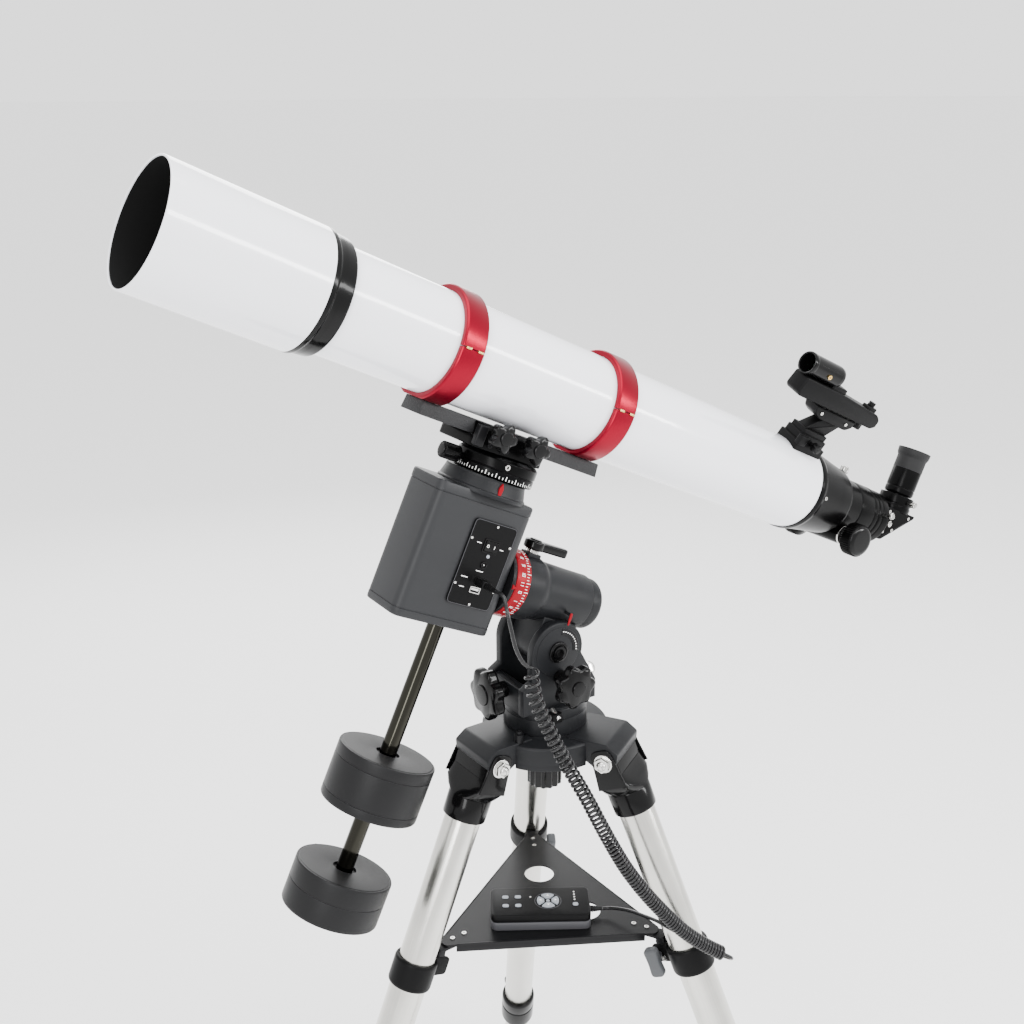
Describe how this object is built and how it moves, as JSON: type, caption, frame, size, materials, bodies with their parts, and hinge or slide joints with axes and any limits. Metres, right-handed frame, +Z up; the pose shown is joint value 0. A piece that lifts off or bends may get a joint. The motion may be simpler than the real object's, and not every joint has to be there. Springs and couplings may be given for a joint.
{
  "type": "refractor telescope",
  "caption": "White refractor telescope in red tube rings on a motorised equatorial mount with counterweights, steel tripod, tray and corded hand controller.",
  "frame": {"origin": "On the floor, under the middle of the object measured without its cord.", "axes": "+X from the tube front towards the eyepiece end, +Y away from the side with the control panel, +Z up."},
  "size_m": [1.136, 0.8288, 1.5886],
  "materials": {
    "white_paint": "high gloss white enamel",
    "gloss_black": "glossy black",
    "satin_black": "satin black powder coat",
    "wrinkle_black": "fine wrinkle black paint",
    "charcoal": "fine textured charcoal paint",
    "casting": "matte dark casting paint",
    "crimson": "satin crimson anodised",
    "dial_red": "satin red with printed scale",
    "steel": "polished stainless tube",
    "chrome": "bright plated",
    "weight_iron": "black painted iron, fine grain",
    "anodised_black": "satin black anodised",
    "lens_glass": "coated glass, faint green",
    "case_black": "matte black plastic",
    "key_grey": "grey rubber keys",
    "cord_black": "glossy black cord jacket"
  },
  "bodies": {
    "tripod": {"tripod_hub": "casting", "leg_upper_1": "steel", "leg_upper_2": "steel", "leg_upper_3": "steel", "accessory_tray": "satin_black", "controller_case": "case_black", "cord_coil": "cord_black", "cord_lead_low": "cord_black"},
    "lower_leg_1": {"leg_lower_1": "steel"},
    "lock_knob_1": {"leg_lock_knob_1": "gloss_black"},
    "clamp_knob_1": {"tray_clamp_knob_1": "gloss_black"},
    "lower_leg_2": {"leg_lower_2": "steel"},
    "lock_knob_2": {"leg_lock_knob_2": "gloss_black"},
    "clamp_knob_2": {"tray_clamp_knob_2": "gloss_black"},
    "lower_leg_3": {"leg_lower_3": "steel"},
    "lock_knob_3": {"leg_lock_knob_3": "gloss_black"},
    "clamp_knob_3": {"tray_clamp_knob_3": "gloss_black"},
    "hub_knob": {"hub_center_knob": "gloss_black"},
    "key_up": {"controller_key_up": "key_grey"},
    "key_left": {"controller_key_left": "key_grey"},
    "key_down": {"controller_key_down": "key_grey"},
    "key_right": {"controller_key_right": "key_grey"},
    "azimuth_head": {"azimuth_base": "casting"},
    "altitude_screw": {"altitude_bolt": "chrome"},
    "altitude_adjuster": {"altitude_adjust_knob": "gloss_black"},
    "altitude_clamp": {"altitude_clamp_knob": "gloss_black"},
    "polar_head": {"polar_axis_housing": "casting"},
    "setting_circle": {"polar_setting_circle": "dial_red"},
    "clutch_lever": {"polar_clutch_lever": "gloss_black"},
    "motor_unit": {"polar_shaft": "satin_black", "motor_box": "charcoal", "control_panel": "case_black", "counterweight_shaft": "steel", "shaft_end_cap": "gloss_black", "cord_plug": "case_black", "cord_lead_top": "cord_black"},
    "switch_rocker": {"power_switch": "gloss_black"},
    "weight_upper": {"counterweight_upper": "weight_iron"},
    "weight_lower": {"counterweight_lower": "weight_iron"},
    "dec_head": {"declination_head": "anodised_black", "saddle": "anodised_black"},
    "dec_clutch": {"declination_clutch_knob": "gloss_black"},
    "saddle_screw_1": {"saddle_knob_1": "gloss_black"},
    "saddle_screw_2": {"saddle_knob_2": "gloss_black"},
    "telescope": {"dovetail_bar": "wrinkle_black", "tube_ring_lower_1": "crimson", "tube_ring_lower_2": "crimson", "main_tube": "white_paint", "dew_shield": "white_paint", "lens_cell": "anodised_black", "objective_lens": "lens_glass", "focuser_body": "anodised_black", "finder_bracket": "case_black", "finder_sight": "case_black"},
    "ring_half_1": {"tube_ring_upper_1": "crimson"},
    "ring_half_2": {"tube_ring_upper_2": "crimson"},
    "drawtube": {"focuser_drawtube": "anodised_black"},
    "focus_wheels": {"focus_knobs": "anodised_black"},
    "diagonal": {"star_diagonal": "anodised_black"},
    "ocular": {"eyepiece": "anodised_black"}
  },
  "joints": [
    {"name": "leg_1_slide", "type": "slide", "parent": "tripod", "child": "lower_leg_1", "axis": [0.1758, 0.3363, -0.9252], "range_m": [0, 0.4]},
    {"name": "leg_1_lock_turn", "type": "hinge", "parent": "tripod", "child": "lock_knob_1", "pos_m": [0.10606, 0.36999, 0.17401], "axis": [0.4286, 0.8199, 0.3795], "continuous": true},
    {"name": "tray_clamp_1_turn", "type": "hinge", "parent": "tripod", "child": "clamp_knob_1", "pos_m": [0.00752, 0.12108, 0.61497], "axis": [-0.8862, 0.4633, 0], "continuous": true},
    {"name": "leg_2_slide", "type": "slide", "parent": "tripod", "child": "lower_leg_2", "axis": [-0.3791, -0.0159, -0.9252], "range_m": [0, 0.4]},
    {"name": "leg_2_lock_turn", "type": "hinge", "parent": "tripod", "child": "lock_knob_2", "pos_m": [-0.52041, -0.02758, 0.17401], "axis": [-0.9244, -0.0387, 0.3795], "continuous": true},
    {"name": "tray_clamp_2_turn", "type": "hinge", "parent": "tripod", "child": "clamp_knob_2", "pos_m": [-0.25558, 0.01155, 0.61497], "axis": [0.0419, -0.9991, 0], "continuous": true},
    {"name": "leg_3_slide", "type": "slide", "parent": "tripod", "child": "lower_leg_3", "axis": [0.2033, -0.3204, -0.9252], "range_m": [0, 0.4]},
    {"name": "leg_3_lock_turn", "type": "hinge", "parent": "tripod", "child": "lock_knob_3", "pos_m": [0.13713, -0.37133, 0.17401], "axis": [0.4958, -0.7812, 0.3795], "continuous": true},
    {"name": "tray_clamp_3_turn", "type": "hinge", "parent": "tripod", "child": "clamp_knob_3", "pos_m": [-0.02917, -0.16154, 0.61497], "axis": [0.8443, 0.5358, 0], "continuous": true},
    {"name": "hub_knob_turn", "type": "hinge", "parent": "tripod", "child": "hub_knob", "pos_m": [-0.09241, -0.00964, 0.84], "axis": [0, 0, 1], "continuous": true},
    {"name": "key_up_press", "type": "slide", "parent": "tripod", "child": "key_up", "axis": [0, 0, 1], "range_m": [-0.0012, 0], "stiffness_N_per_m": 300},
    {"name": "key_left_press", "type": "slide", "parent": "tripod", "child": "key_left", "axis": [0, 0, 1], "range_m": [-0.0012, 0], "stiffness_N_per_m": 300},
    {"name": "key_down_press", "type": "slide", "parent": "tripod", "child": "key_down", "axis": [0, 0, 1], "range_m": [-0.0012, 0], "stiffness_N_per_m": 300},
    {"name": "key_right_press", "type": "slide", "parent": "tripod", "child": "key_right", "axis": [0, 0, 1], "range_m": [-0.0012, 0], "stiffness_N_per_m": 300},
    {"name": "azimuth_turn", "type": "hinge", "parent": "tripod", "child": "azimuth_head", "pos_m": [-0.09241, -0.00964, 0.93], "axis": [0, 0, 1], "range_deg": [-8, 8]},
    {"name": "altitude_bolt_turn", "type": "hinge", "parent": "azimuth_head", "child": "altitude_screw", "pos_m": [-0.04241, -0.00964, 0.954], "axis": [1, 0, 0], "continuous": true},
    {"name": "altitude_adjust_turn", "type": "hinge", "parent": "azimuth_head", "child": "altitude_adjuster", "pos_m": [-0.17241, -0.00964, 0.959], "axis": [1, 0, 0], "continuous": true},
    {"name": "altitude_clamp_turn", "type": "hinge", "parent": "azimuth_head", "child": "altitude_clamp", "pos_m": [-0.10041, -0.06964, 0.979], "axis": [0, 1, 0], "continuous": true},
    {"name": "latitude_tilt", "type": "hinge", "parent": "azimuth_head", "child": "polar_head", "pos_m": [-0.10191, -0.00964, 1.011], "axis": [0, 1, 0], "range_deg": [-5, 33]},
    {"name": "setting_circle_turn", "type": "hinge", "parent": "polar_head", "child": "setting_circle", "pos_m": [-0.15315, -0.00964, 1.09845], "axis": [0.9063, 0, -0.4226], "continuous": true},
    {"name": "polar_clutch_swing", "type": "hinge", "parent": "polar_head", "child": "clutch_lever", "pos_m": [-0.10837, -0.00964, 1.13439], "axis": [0.4226, 0, 0.9063], "range_deg": [-35, 35]},
    {"name": "right_ascension", "type": "hinge", "parent": "polar_head", "child": "motor_unit", "pos_m": [-0.20989, -0.00964, 1.12491], "axis": [0.9063, 0, -0.4226], "range_deg": [-90, 90], "deforming": ["cord_lead_top", "cord_coil"]},
    {"name": "power_switch_rock", "type": "hinge", "parent": "motor_unit", "child": "switch_rocker", "pos_m": [-0.19187, -0.04494, 1.15976], "axis": [-0.4226, 0, -0.9063], "range_deg": [-9, 0]},
    {"name": "upper_weight_slide", "type": "slide", "parent": "motor_unit", "child": "weight_upper", "axis": [0.4226, 0, 0.9063], "range_m": [-0.03, 0.15]},
    {"name": "lower_weight_slide", "type": "slide", "parent": "motor_unit", "child": "weight_lower", "axis": [0.4226, 0, 0.9063], "range_m": [-0.006, 0.045]},
    {"name": "declination", "type": "hinge", "parent": "motor_unit", "child": "dec_head", "pos_m": [-0.16069, -0.00964, 1.23988], "axis": [0.4226, 0, 0.9063], "continuous": true},
    {"name": "dec_clutch_turn", "type": "hinge", "parent": "dec_head", "child": "dec_clutch", "pos_m": [-0.21954, -0.00964, 1.26512], "axis": [0.9063, 0, -0.4226], "continuous": true},
    {"name": "saddle_knob_1_turn", "type": "hinge", "parent": "dec_head", "child": "saddle_screw_1", "pos_m": [-0.18626, -0.06664, 1.28822], "axis": [0, 1, 0], "continuous": true},
    {"name": "saddle_knob_2_turn", "type": "hinge", "parent": "dec_head", "child": "saddle_screw_2", "pos_m": [-0.14357, -0.06664, 1.26831], "axis": [0, 1, 0], "continuous": true},
    {"name": "dovetail_slide", "type": "slide", "parent": "dec_head", "child": "telescope", "axis": [0.9063, 0, -0.4226], "range_m": [-0.03, 0.03]},
    {"name": "ring_1_open", "type": "hinge", "parent": "telescope", "child": "ring_half_1", "pos_m": [-0.22496, -0.07464, 1.38836], "axis": [0.9063, 0, -0.4226], "range_deg": [0, 100]},
    {"name": "ring_2_open", "type": "hinge", "parent": "telescope", "child": "ring_half_2", "pos_m": [-0.02648, -0.07464, 1.29581], "axis": [0.9063, 0, -0.4226], "range_deg": [0, 100]},
    {"name": "focuser_slide", "type": "slide", "parent": "telescope", "child": "drawtube", "axis": [0.9063, 0, -0.4226], "range_m": [0, 0.07]},
    {"name": "focus_knob_turn", "type": "hinge", "parent": "telescope", "child": "focus_wheels", "pos_m": [0.37746, -0.00964, 1.06177], "axis": [0, 1, 0], "range_deg": [0, 620]},
    {"name": "diagonal_turn", "type": "hinge", "parent": "drawtube", "child": "diagonal", "pos_m": [0.45356, -0.00964, 1.06644], "axis": [0.9063, 0, -0.4226], "continuous": true},
    {"name": "eyepiece_turn", "type": "hinge", "parent": "diagonal", "child": "ocular", "pos_m": [0.515, -0.00964, 1.07928], "axis": [0.4226, 0, 0.9063], "continuous": true}
  ],
  "couplings": [
    {"joint": "focus_knob_turn", "follows": "focuser_slide", "rad_per_m": 153.8}
  ]
}
